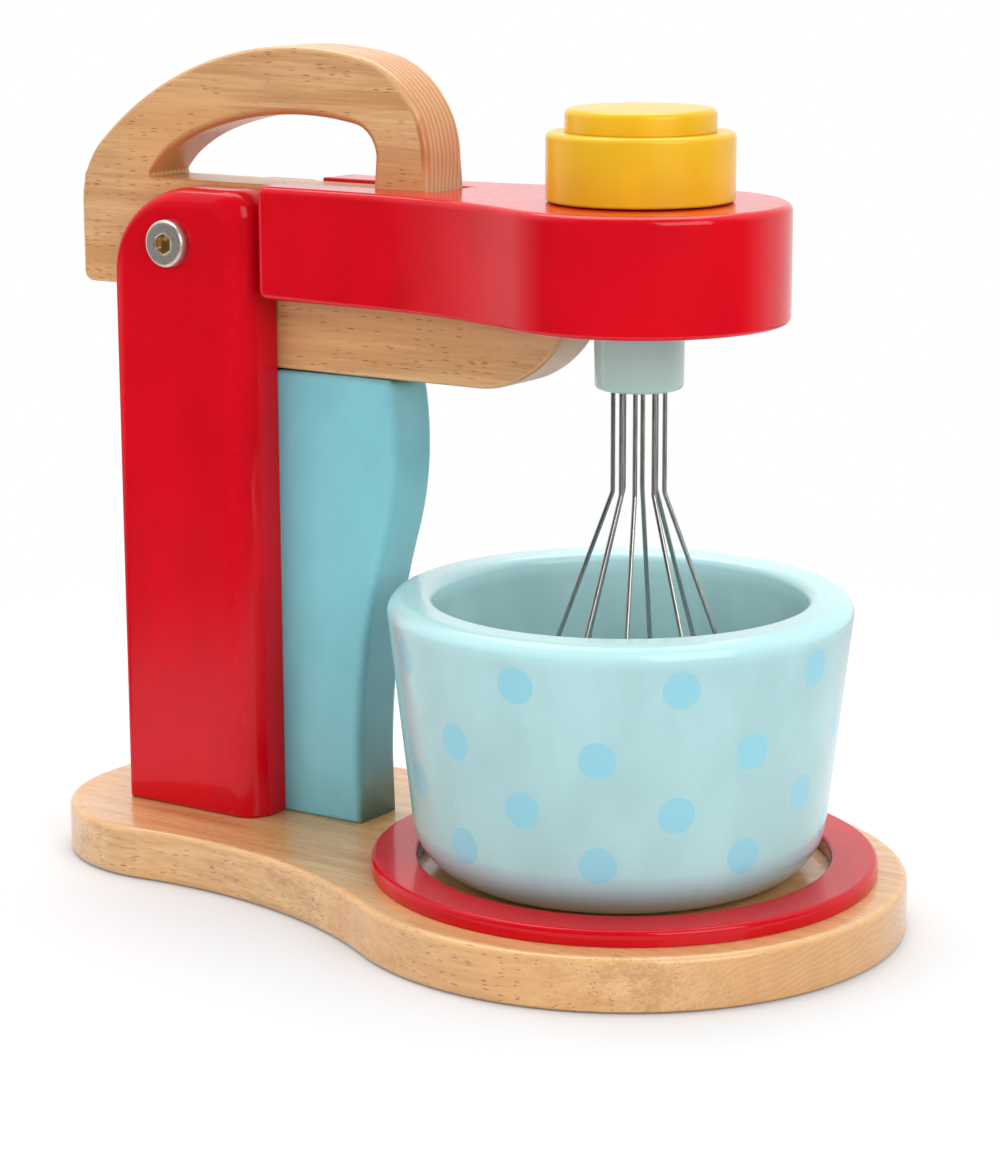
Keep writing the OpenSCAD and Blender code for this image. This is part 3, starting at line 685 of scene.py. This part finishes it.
class MIXER_OT_base_board(bpy.types.Operator):
    """Make the wooden base board with its screw recesses"""
    bl_idname = "mixer.base_board"
    bl_label = "Base board"

    def execute(self, context):
        sizes, colours = context.scene.mixer_sizes, context.scene.mixer_colours
        radius, waist, rear_radius, rear_width = 78.0, 140.0, 42.0, 97.0
        front = Vector((BASE_HIGH.x - radius, 0))
        rear = Vector((BASE_LOW.x + rear_radius, rear_width / 2 - rear_radius))
        dip = meet(rear, rear_radius + waist, front, radius + waist)
        half = (arc(front, radius, 0, angle_to(front, dip), 2)
                + arc(dip, waist, angle_to(dip, front), angle_to(dip, rear), 2)
                + arc(rear, rear_radius, angle_to(rear, dip), 180, 2))
        screw_head, margin, foot_edge = 4.0, 12, 1.4
        side = SCREWS_HIGH.y - screw_head
        places = [(x, s * side) for x in (CHEEK_LOW.x + margin, CHEEK_HIGH.x - margin) for s in (-1, 1)]
        places += [(POST_LOW.x + margin, 0), (POST_LOW.x + POST_DEPTH - margin, 0)]
        pits = [(p, [(4.05, 0), (4.05, 0.55), (2.05, 2.55)]) for p in places]
        bm = board([half + mirrored(half)], 0, BASE_HIGH.z, foot_edge, sizes.base_edge / MM, pits=pits)
        # The base's foot gets a painted contact shadow
        finish = wooden("base_wood_lacquered", colours.base_wood, "Z", 0.12, 0.75, foot=True)
        finished(context, bm, "base_board", "stand", finish)

        bm = bmesh.new()
        for x, y in places:
            self.screw(bm, x, y)
        finished(context, bm, "base_screws", "stand", metal("screw_zinc", *ZINC))
        return {"FINISHED"}

    def screw(self, bm, x, y):
        """A countersunk screw under the base board, from the bottom of its recess to its point."""
        def cross(turn):
            """The recess's radius at an angle: long in its four arms, short between them."""
            from_arm = abs((turn + math.pi / 4) % (math.pi / 2) - math.pi / 4)
            return 2.0 if from_arm < 0.16 else 0.62

        turned([(0, 2.0), (0.3, 1.9), (lambda a: cross(a) * 0.55, 1.7), (cross, 0.58), (2.7, 0.5),
                (3.8, 0.5), (4.0, 0.62), (2.0, 2.5), (2.0, 36.5), (0.4, 38.4), (0, 38.5)],
               upright_at(x, y), segments=96, into=bm)


class MIXER_OT_tray_ring(bpy.types.Operator):
    """Make the red ring that the bowl stands in"""
    bl_idname = "mixer.tray_ring"
    bl_label = "Tray ring"

    def execute(self, context):
        outer = (RING_HIGH.x - RING_LOW.x) / 2
        inner = 56.8
        profile = rounded([(inner, RING_LOW.z, 0.3), (outer, RING_LOW.z, 0.3), (outer, RING_HIGH.z, 1.5),
                           (inner, RING_HIGH.z, 1.0)])
        bm = turned(profile, upright_at(RING_X), closed=True, segments=160)
        red = lacquered("red_gloss_ring", tint(context.scene.mixer_colours.red, 0.95), 0.22, 0.45, 0.08)
        finished(context, bm, "tray_ring", "stand", red)
        return {"FINISHED"}


class MIXER_OT_cheeks(bpy.types.Operator):
    """Make the two red cheeks of the column"""
    bl_idname = "mixer.cheeks"
    bl_label = "Cheeks"

    def execute(self, context):
        sizes = context.scene.mixer_sizes
        red = lacquered("red_gloss_cheeks", context.scene.mixer_colours.red, 0.22, 0.4, 0.1)
        for node, side in (("near_cheek", -1), ("far_cheek", 1)):
            bm = self.cheek(side, sizes.cheek_front / MM, sizes.cheek_top / MM)
            finished(context, bm, node, "stand", red)
        return {"FINISHED"}

    def cheek(self, side, front_edge, top_edge):
        """A cheek as a stack of outlines from its inner face to its outer face."""
        bm = bmesh.new()
        edge_layer = bm.verts.layers.float.new("edge")
        inner, outer = side * -CHEEK_HIGH.y, side * -CHEEK_LOW.y
        thick = abs(outer - inner)
        inner_edge, rear_edge, foot_edge, inner_foot_edge = 0.8, 1.5, 1.3, 0.5
        front_corner, rear_corner = 8, 25

        def sunk(radius, from_face):
            """How far a rounded edge has drawn back at a distance below the face."""
            left = max(0.0, radius - from_face)
            return radius - math.sqrt(max(0.0, radius * radius - left * left))

        def steps_of(radius, count):
            """Distances below the face at which an edge has turned by equal steps."""
            return [radius * (1 - math.cos(math.pi / 2 * k / count)) for k in range(count + 1)]

        def outline(depth):
            """The outline at a distance from the inner face."""
            up = thick - depth
            inside = sunk(inner_edge, depth)
            front = max(sunk(front_edge, up), inside)
            rear, top = max(sunk(rear_edge, up), inside), max(sunk(top_edge, up), inside)
            foot = max(sunk(foot_edge, up), sunk(inner_foot_edge, depth))
            x0, x1 = CHEEK_LOW.x + rear, CHEEK_HIGH.x - front
            z0, z1 = CHEEK_LOW.z + foot, CHEEK_HIGH.z - top
            return rounded([(x0, z0, 0.7), (x1, z0, 0.9), (x1, z1, front_corner - 0.35 * front),
                            (x0, z1, rear_corner - top)], 12)

        outer_steps = steps_of(front_edge, 12) + steps_of(top_edge, 8)
        depths = sorted({0.0, 0.1, 0.3, inner_edge, *(round(thick - d, 1) for d in outer_steps)})
        rings = []
        # The outer face has a ring of its own in the same place as the last one, so it stays flat
        for depth in depths + [thick]:
            edge_mark = 1.0 if 0.2 < thick - depth < 1.6 else 0.0
            ring = [bm.verts.new((p.x, inner + side * depth, p.y)) for p in outline(depth)]
            for vert in ring:
                vert[edge_layer] = edge_mark
            rings.append(ring)
        bridge(bm, rings)
        for ring in (rings[0], rings[-1]):
            bm.faces.new(ring)
        return bm


class MIXER_OT_centre_post(bpy.types.Operator):
    """Make the pale blue post with its bulging front"""
    bl_idname = "mixer.centre_post"
    bl_label = "Centre post"

    def execute(self, context):
        bulge, crest_drop, hollow, swell = 14.0, 18.2, 235.0, 95.0
        front = POST_LOW.x + POST_DEPTH
        crest_z = POST_HIGH.z - crest_drop
        foot_z = crest_z - math.sqrt(2 * bulge * (hollow + swell) - bulge ** 2)
        lean = math.degrees(math.acos(1 - bulge / (hollow + swell)))
        tip = arc((front + bulge - swell, crest_z), swell, -lean,
                  math.degrees(math.asin(crest_drop / swell)), 1.2)
        outline = ([Vector((POST_LOW.x, POST_LOW.z)), Vector((front, POST_LOW.z))]
                   + arc((front + hollow, foot_z), hollow, 180, 180 - lean, 1.2)
                   + tip[:-2] + [tip[-2] + Vector((-0.1, 0)), tip[-1] + Vector((-1.2, 0))]
                   + [Vector((POST_LOW.x, POST_HIGH.z))])

        def edge(p):
            """Sharp between the cheeks, a little softer at the foot and softest on the bulge."""
            if p.x < CHEEK_HIGH.x - 6:
                return 0.8
            return 1.5 if p.y < POST_LOW.z + 1 else 2.7

        half = (POST_HIGH.y - POST_LOW.y) / 2
        bm = board([outline], -half, half, edge, edge, upright=True)
        blue = lacquered("blue_satin", context.scene.mixer_colours.blue, 0.34, 0.4)
        finished(context, bm, "centre_post", "stand", blue)
        return {"FINISHED"}


class MIXER_OT_pivot(bpy.types.Operator):
    """Make the pivot's socket head bolt and sleeve nut"""
    bl_idname = "mixer.pivot"
    bl_label = "Pivot bolt and nut"

    def execute(self, context):
        socket = (PIVOT_X, PIVOT_Z, 2.75)
        steel = metal("bolt_nickel", (0.78, 0.72, 0.67), 0.36, (1.5, 0.2, 1.5), socket, 0.84)
        for node, face, end, facing, shank in (("pivot_bolt", CHEEK_LOW.y, BOLT_HIGH.y, -1, 3.0),
                                               ("pivot_nut", -CHEEK_LOW.y, NUT_LOW.y, 1, 4.5)):
            bm = turned(self.profile(abs(end - face), shank), crosswise_at(PIVOT_X, face, PIVOT_Z, facing),
                        segments=96)
            finished(context, bm, node, "stand", steel)
        return {"FINISHED"}

    def profile(self, length, shank):
        """The head stands 3 mm above the face, with a socket for a 5 mm key; the shank runs the
        other way."""
        def hexagon(turn):
            return 2.5 / math.cos((turn + math.pi / 6) % (math.pi / 3) - math.pi / 6)

        tip = 0.4
        head = [(6.7, 0), (6.7, 1.5)] + arc((5.5, 1.8), 1.2, 0, 80, 10) + [(5.6, 3.0), (3.6, 3.0)]
        socket = [(lambda a: hexagon(a) + 0.3, 3.0), (lambda a: hexagon(a) + 0.05, 2.8), (hexagon, 2.7),
                  (hexagon, 0.9), (0.2, 0.6), (0, 0.6)]
        return [(0, -length), (shank - tip, -length), (shank, -length + tip), (shank, 0)] + head + socket


# ---- The tilting head ----

class MIXER_OT_arm_board(bpy.types.Operator):
    """Make the wooden arm with its tail, rail and handle"""
    bl_idname = "mixer.arm_board"
    bl_label = "Arm board"

    def execute(self, context):
        sizes, colours = context.scene.mixer_sizes, context.scene.mixer_colours
        hole = self.hand_hole()
        pivot = circle(PIVOT_X, PIVOT_Z, 4.56)
        edge_size, at_head, at_rail = sizes.arm_edge / MM, 0.5, 0.7
        soft_front = HANDLE_FRONT_X - 25

        def edge(p):
            """Softer round the hand hole and in front, sharp where the arm lies against the head."""
            above = p.y - RAIL_TOP
            grown = at_rail + 0.25 * above
            if p.x > HANDLE_FRONT_X - 0.5 and HEAD_LOW.z - 0.5 < p.y < RAIL_TOP + 0.5:
                return at_head
            if -1 < above < 0.5:
                return at_rail
            if p in hole[1:-1]:
                return min(2.2, grown)
            if above > 0 and p.x > soft_front:
                return min(2.1, edge_size + 0.04 * (p.x - soft_front), grown)
            return edge_size

        def shade(p):
            """Painted shade with a painted reflection of the red head on the handle's front; rubbed pale with
            a painted highlight elsewhere.
            """
            return -0.8 if p.x > HANDLE_FRONT_X - 3 and p.y > RAIL_TOP + 2 else 1

        half = (ARM_HIGH.y - ARM_LOW.y) / 2
        # The hand hole's edge is painted dark orange: painted shade with a painted reflection of the red head
        bm = board([self.rail() + self.handle(), hole, pivot], -half, half, edge, edge, upright=True,
                   shades=(shade, -1, 0))
        finish = wooden("arm_wood_lacquered", colours.arm_wood, "Y", 0.45, 0.35, 0.06, 0.4)
        finished(context, bm, "arm_board", "head", finish)
        return {"FINISHED"}

    def rail(self):
        """The outline from the tail along the bottom to the rail's end, and back to the handle."""
        bottom, end = ARM_LOW.z, 32.0
        sweep = math.degrees(math.acos(1 - (HEAD_LOW.z - bottom) / end))
        tail = rounded_path([(ARM_LOW.x, ARM_HIGH.z), (ARM_LOW.x, TAIL_BOTTOM, 3),
                             (POST_LOW.x, TAIL_BOTTOM, 5), (POST_LOW.x, bottom, 3),
                             (ARM_HIGH.x, bottom)], 10)
        nose = arc((ARM_HIGH.x - end * math.sin(math.radians(sweep)), bottom + end), end, -90, sweep - 90)
        return tail + nose + [Vector((SLOT_END_X, HEAD_LOW.z)), Vector((SLOT_END_X, RAIL_TOP)),
                              Vector((HANDLE_FRONT_X, RAIL_TOP))]

    def handle(self):
        """The outline from the handle's front over its crest to the tail: three arcs."""
        crest_radius, front_radius, rear_radius = 103.5, 28, 25.5
        crest = (HANDLE_CREST_X, ARM_HIGH.z - crest_radius)
        front = inner_corner(crest, crest_radius, HANDLE_FRONT_X - front_radius, front_radius)
        rear = inner_corner(crest, crest_radius, ARM_LOW.x + rear_radius, rear_radius)
        return (arc(front, front_radius, 0, angle_to(crest, front), 4)
                + arc(crest, crest_radius, angle_to(crest, front), angle_to(crest, rear), 2)
                + arc(rear, rear_radius, angle_to(crest, rear), 180, 4))

    def hand_hole(self):
        """The hole under the handle: three arcs down to the rail, whose top is its flat side."""
        band, post, top_radius, front_radius, rear_radius, rear_turn = 18.9, 17.7, 100, 9, 46, 110.5
        top = Vector((HANDLE_CREST_X, ARM_HIGH.z - band - top_radius))
        front = inner_corner(top, top_radius, HANDLE_FRONT_X - post - front_radius, front_radius)
        turn = math.radians(rear_turn)
        rear = top + (top_radius - rear_radius) * Vector((math.cos(turn), math.sin(turn)))
        tip = 180 - math.degrees(math.asin((RAIL_TOP - rear.y) / rear_radius))
        curve = (arc(front, front_radius, 0, angle_to(top, front), 6)
                 + arc(top, top_radius, angle_to(top, front), rear_turn, 2)
                 + arc(rear, rear_radius, rear_turn, tip, 3))
        foot = Vector((HANDLE_FRONT_X - post, RAIL_TOP))
        hole = [foot] + curve[:-1] + corner(curve[-2], curve[-1], foot, 0.9, 4)
        return hole[::-1]


class MIXER_OT_head_block(bpy.types.Operator):
    """Make the red head with its two prongs"""
    bl_idname = "mixer.head_block"
    bl_label = "Head block"

    def execute(self, context):
        sizes = context.scene.mixer_sizes
        end, flare, prong, slot, bore = HEAD_HIGH.y, 150.0, 22.5, 8.95, 5.06
        axis = Vector((HEAD_X, 0))
        side = prong + flare
        dip = Vector((HEAD_X - math.sqrt((end + flare) ** 2 - side ** 2), side))
        half = (arc(axis, end, 0, angle_to(axis, dip), 2) + arc(dip, flare, angle_to(dip, axis), -90, 2)
                + rounded_path([(dip.x, prong), (HEAD_LOW.x, prong, 3), (HEAD_LOW.x, slot, 1),
                                (SLOT_END_X + 0.05, slot)])
                + [Vector((SLOT_END_X + 0.05, slot))])
        edge_size = sizes.head_edge / MM

        def edge(p):
            """Sharp along the slot."""
            return 0.7 if abs(p.y) < slot + 0.3 and p.x < SLOT_END_X + 1 else edge_size

        def low_edge(p):
            """Sharper than above, but softer again at the prongs' rear ends."""
            rear = max(0.0, min(1.0, (HEAD_LOW.x + 6 - p.x) / 6))
            return min(edge(p), 1.5) + (1.3 * rear if abs(p.y) > slot + 1.1 else 0.0)

        bm = board([half + mirrored(half), circle(HEAD_X, 0, bore)], HEAD_LOW.z, HEAD_HIGH.z, low_edge, edge)
        red = lacquered("red_gloss_head", context.scene.mixer_colours.red, 0.22, 0.6, 0.1)
        finished(context, bm, "head_block", "head", red)
        return {"FINISHED"}


# ---- Knob, hub and whisk ----

class MIXER_OT_knob(bpy.types.Operator):
    """Make the yellow knob and its cap"""
    bl_idname = "mixer.knob"
    bl_label = "Knob and cap"

    def execute(self, context):
        for node, low, high, foot, edge in (("knob", KNOB_LOW, KNOB_HIGH, 0.8, 1.5),
                                            ("knob_cap", CAP_LOW, CAP_HIGH, 0.2, 1.8)):
            radius = (high.x - low.x) / 2
            profile = rounded_path([(-1, low.z), (0, low.z), (radius, low.z, foot), (radius, high.z, edge),
                                    (0, high.z), (-1, high.z)])
            bm = turned(profile, upright_at(HEAD_X))
            finish = lacquered(node + "_satin", context.scene.mixer_colours.yellow, 0.36, 0.6, 0.2)
            finished(context, bm, node, "whisk", finish)
        return {"FINISHED"}


class MIXER_OT_hub(bpy.types.Operator):
    """Make the grey-green hub that holds the wires"""
    bl_idname = "mixer.hub"
    bl_label = "Hub"

    def execute(self, context):
        radius = (HUB_HIGH.x - HUB_LOW.x) / 2
        profile = rounded_path([(-1, HUB_LOW.z), (0, HUB_LOW.z), (radius - 0.2, HUB_LOW.z, 1.5),
                                (radius, HUB_HIGH.z, 0.5), (0, HUB_HIGH.z), (-1, HUB_HIGH.z)])
        bm = turned(profile, upright_at(HEAD_X), segments=96)
        finish = lacquered("hub_satin", context.scene.mixer_colours.hub, 0.4, 0.8)
        finished(context, bm, "hub", "whisk", finish)
        return {"FINISHED"}


class MIXER_OT_whisk(bpy.types.Operator):
    """Bend the four wire loops of the whisk"""
    bl_idname = "mixer.whisk"
    bl_label = "Whisk"

    def execute(self, context):
        wire = context.scene.mixer_sizes.wire / MM
        steel = metal("whisk_drawn_steel", (0.60, 0.58, 0.55), 0.34, (1.0, 1.0, 0.15))
        for i, turn in enumerate((29, 79, 113, 157)):
            bm = self.loop(i, math.radians(turn), wire)
            finished(context, bm, f"whisk_loop_{i + 1}", "whisk", steel)
        return {"FINISHED"}

    def loop(self, i, turn, wire):
        """Loop i, counted from the outermost, which passes under the others. Each leg comes
        straight out of the hub, bends outwards and runs down to the arc at the bottom."""
        leg, flare, bend, gap, sides = 6.9, math.radians(20), 4.0, 0.12, 14
        in_hub, straight, kink_drop, arc_drop = 6, 8, 28, 52.6
        nest = (2 * wire + gap) / (1 + math.sin(flare))
        kink = HUB_LOW.z - kink_drop
        centre = kink - arc_drop + i * nest
        radius = leg * math.cos(flare) + (kink - centre) * math.sin(flare)
        half = [Vector((leg, HUB_LOW.z + in_hub)), Vector((leg, HUB_LOW.z - straight))]
        bend_at = (leg + bend, kink + bend * math.tan(flare / 2))
        half += arc(bend_at, bend, 180, 180 + math.degrees(flare), 2.5)
        half += arc((0, centre), radius, math.degrees(flare), -90, 3)
        path = half + [Vector((-p.x, p.y)) for p in reversed(half[:-1])]
        out = Vector((math.cos(turn), math.sin(turn), 0))
        normal = Vector((-math.sin(turn), math.cos(turn), 0))
        points = [Vector((HEAD_X, 0, 0)) + out * p.x + Vector((0, 0, p.y)) for p in path]
        bm = bmesh.new()
        rings = []
        for n, p in enumerate(points):
            ahead = points[min(n + 1, len(points) - 1)] - points[max(n - 1, 0)]
            side = ahead.normalized().cross(normal)
            rings.append([bm.verts.new(p + (normal * math.cos(math.tau * k / sides)
                                            + side * math.sin(math.tau * k / sides)) * wire)
                          for k in range(sides)])
        bridge(bm, rings)
        bm.faces.new(rings[0])
        bm.faces.new(rings[-1])
        return bm


# ---- Bowl ----

class MIXER_OT_bowl(bpy.types.Operator):
    """Make the mint bowl with its painted dots"""
    bl_idname = "mixer.bowl"
    bl_label = "Bowl"

    def execute(self, context):
        sizes, colours = context.scene.mixer_sizes, context.scene.mixer_colours
        foot, rim, wall, floor = 55.0, 63.6, 12.5, 8.0
        low, high = BOWL_LOW.z, BOWL_HIGH.z
        profile = rounded_path([(-1, low), (0, low), (foot, low, 16), (rim, high, 4.5), (rim - wall, high, 3),
                                (foot - wall, low + floor, 16), (0, low + floor), (-1, low + floor)], 14)
        bm = turned(profile, upright_at(BOWL_X), segments=160)
        dots = self.dot_rows(sizes.dots_around, sizes.dot / MM)
        slope = (rim - foot) / (high - low)

        def painted(f, at, paint):
            """A rim painted paler as a painted highlight, a foot with painted shade and a painted reflection
            of its red ring, and rows of dots.
            """
            x, y, z = f.parts(at)
            x = f.math("SUBTRACT", x, BOWL_X)
            away = f.hypot(x, y)
            # The inside of the bowl is plain: it lies nearer to the axis than the side's middle
            middle = f.plus(f.times(z, slope), foot - 6.2 - low * slope)
            outside = f.math("GREATER_THAN", away, middle)
            # Painted highlight: the top of the bowl is painted paler, as if lit from above
            paint = f.mix(f.fade(z, high - 7, high - 2), paint, tint(colours.mint, 1.25))
            # Painted shade and painted reflection: the outside of the foot is painted a darker pink, as the
            # red ring's glow
            ring_bounce_and_shade = f.times(outside, f.fade(z, low + 1, low + 13, 0.55, 0.0))
            paint = f.mix(ring_bounce_and_shade, paint, (0.46, 0.34, 0.33))
            return f.mix(f.times(dots(f, at, x, y, z, away), outside), paint, colours.dots)

        mint = lacquered("bowl_satin", colours.mint, 0.3, 0.9, 0.18, pattern=painted)
        finished(context, bm, "bowl", "bowl", mint)
        return {"FINISHED"}

    def dot_rows(self, around, size):
        """Rows of dots round the bowl. Every second row is shifted by half a space."""
        rows = ((80.0, 0), (61.3, 1), (46.0, 0), (32.4, 1))
        first_turn, blur = -43.8, 0.18
        spacing = 360 / around

        def inked(f, at, x, y, z, away):
            """Where there is a dot, from 0 to 1."""
            turn = f.times(f.math("ARCTAN2", y, x), 180 / math.pi)
            ragged = f.times(f.math("SUBTRACT", f.noise(at, (0.5, 0.5, 0.5), 2.0), 0.5), 0.5)
            found = 0.0
            for height, shift in rows:
                first = first_turn + shift * spacing / 2
                part = f.math("DIVIDE", f.math("SUBTRACT", turn, first), spacing)
                off = f.math("SUBTRACT", part, f.math("ROUND", part))
                beside = f.times(f.times(off, math.radians(spacing)), away)
                gap = f.hypot(beside, f.math("SUBTRACT", z, height))
                dot = f.fade(f.plus(gap, ragged), size - blur, size + blur, 1.0, 0.0)
                found = f.math("MAXIMUM", found, dot)
            return found

        return inked


# ---- Pieces inside ----

class MIXER_OT_inner_pieces(bpy.types.Operator):
    """Give the hidden dowels, washers, spindle and screw their materials"""
    bl_idname = "mixer.inner_pieces"
    bl_label = "Inner pieces"

    def execute(self, context):
        beech = wooden("dowel_beech", (0.70, 0.50, 0.30), "Y", 0.2, 0.05)
        nylon = plastic("washer_nylon", (0.80, 0.80, 0.77))
        zinc = metal("inner_screw_zinc", *ZINC)
        for names, finish in ((("cheek_dowels", "prong_dowels", "rail_dowel", "spindle"), beech),
                              (("pivot_washers", "thrust_washers"), nylon), (("knob_screw",), zinc)):
            for name in names:
                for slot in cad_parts[name].material_slots:
                    slot.material = finish
        return {"FINISHED"}


class MIXER_PT_panel(bpy.types.Panel):
    """Sizes, colours and steps of the toy mixer"""
    bl_idname = "MIXER_PT_panel"
    bl_label = "Toy mixer"
    bl_space_type = "VIEW_3D"
    bl_region_type = "UI"
    bl_category = "Toy mixer"

    def draw(self, context):
        for title, group in (("Sizes", context.scene.mixer_sizes), ("Colours", context.scene.mixer_colours),
                             ("Stage", context.scene.mixer_stage)):
            box = self.layout.box()
            box.label(text=title)
            for name in group.__annotations__:
                box.prop(group, name)
        for step in STEPS:
            self.layout.operator(step.bl_idname)


GROUPS = {"mixer_sizes": MIXER_PG_sizes, "mixer_colours": MIXER_PG_colours, "mixer_stage": MIXER_PG_stage}
STEPS = (MIXER_OT_stage, MIXER_OT_base_board, MIXER_OT_tray_ring, MIXER_OT_cheeks, MIXER_OT_centre_post,
         MIXER_OT_pivot, MIXER_OT_arm_board, MIXER_OT_head_block, MIXER_OT_knob, MIXER_OT_hub,
         MIXER_OT_whisk, MIXER_OT_bowl, MIXER_OT_inner_pieces)
CLASSES = (*GROUPS.values(), *STEPS, MIXER_PT_panel)


def register():
    for cls in CLASSES:
        bpy.utils.register_class(cls)
    for name, group in GROUPS.items():
        setattr(bpy.types.Scene, name, PointerProperty(type=group))


def unregister():
    for name in GROUPS:
        delattr(bpy.types.Scene, name)
    for cls in reversed(CLASSES):
        bpy.utils.unregister_class(cls)


def main():
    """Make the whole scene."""
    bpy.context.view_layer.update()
    register()
    for step in STEPS:
        family, name = step.bl_idname.split(".")
        getattr(getattr(bpy.ops, family), name)()


if __name__ == "__main__":
    main()
